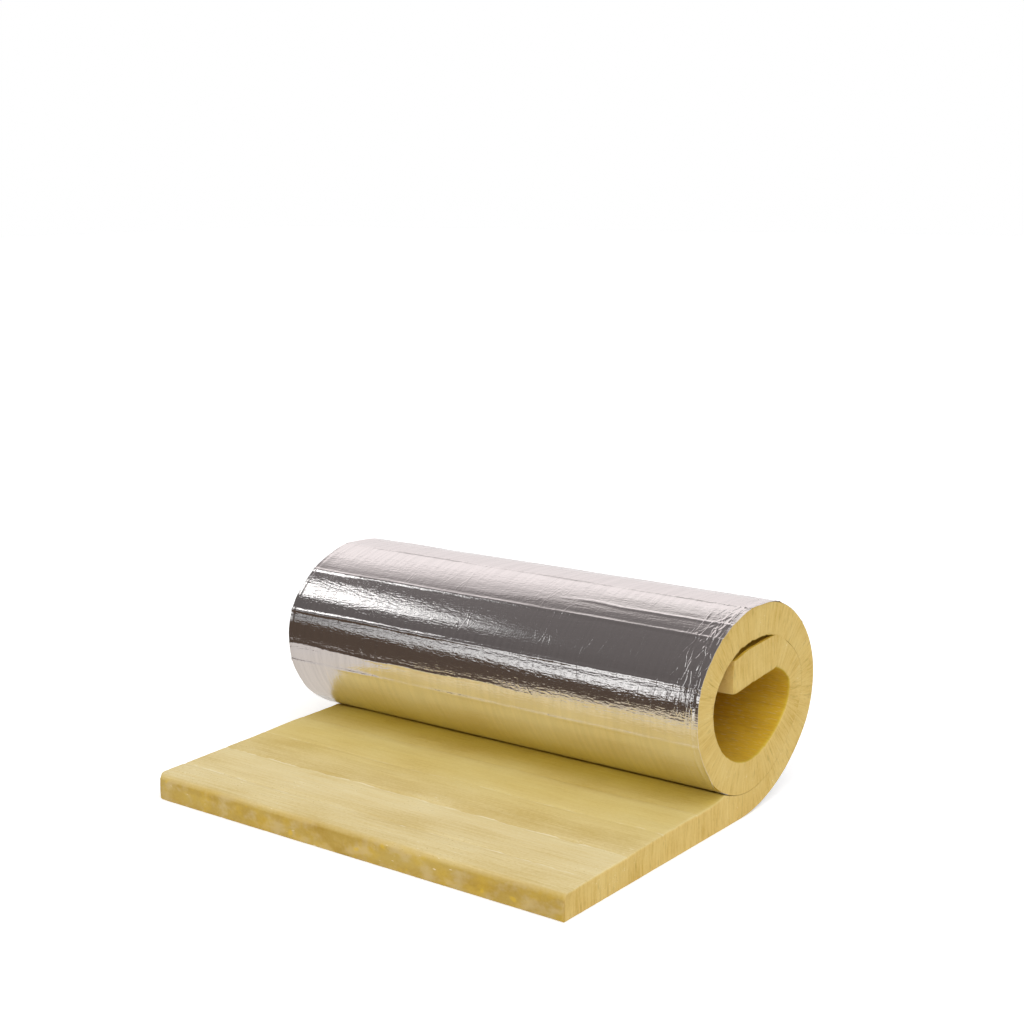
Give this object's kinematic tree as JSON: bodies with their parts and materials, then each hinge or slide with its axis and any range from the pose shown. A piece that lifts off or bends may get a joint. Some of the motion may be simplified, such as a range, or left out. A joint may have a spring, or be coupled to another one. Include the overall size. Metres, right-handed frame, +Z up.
{
  "type": "insulation roll",
  "caption": "Part-unrolled roll of yellow mineral wool insulation mat with a bonded aluminium foil facing outside; the free end lies flat on the floor.",
  "frame": {"origin": "centre of the bounding box on the floor", "axes": "+X along the roll's bore and the mat's width, -Y towards the free end lying flat, +Z up"},
  "size_m": [1, 0.8461, 0.3979],
  "materials": {
    "mineral_wool": "soft fibrous, matte",
    "aluminium_foil": "bright, lightly creased"
  },
  "bodies": {
    "root": {"wool_mat": "mineral_wool", "foil_facing": "aluminium_foil"}
  },
  "joints": []
}
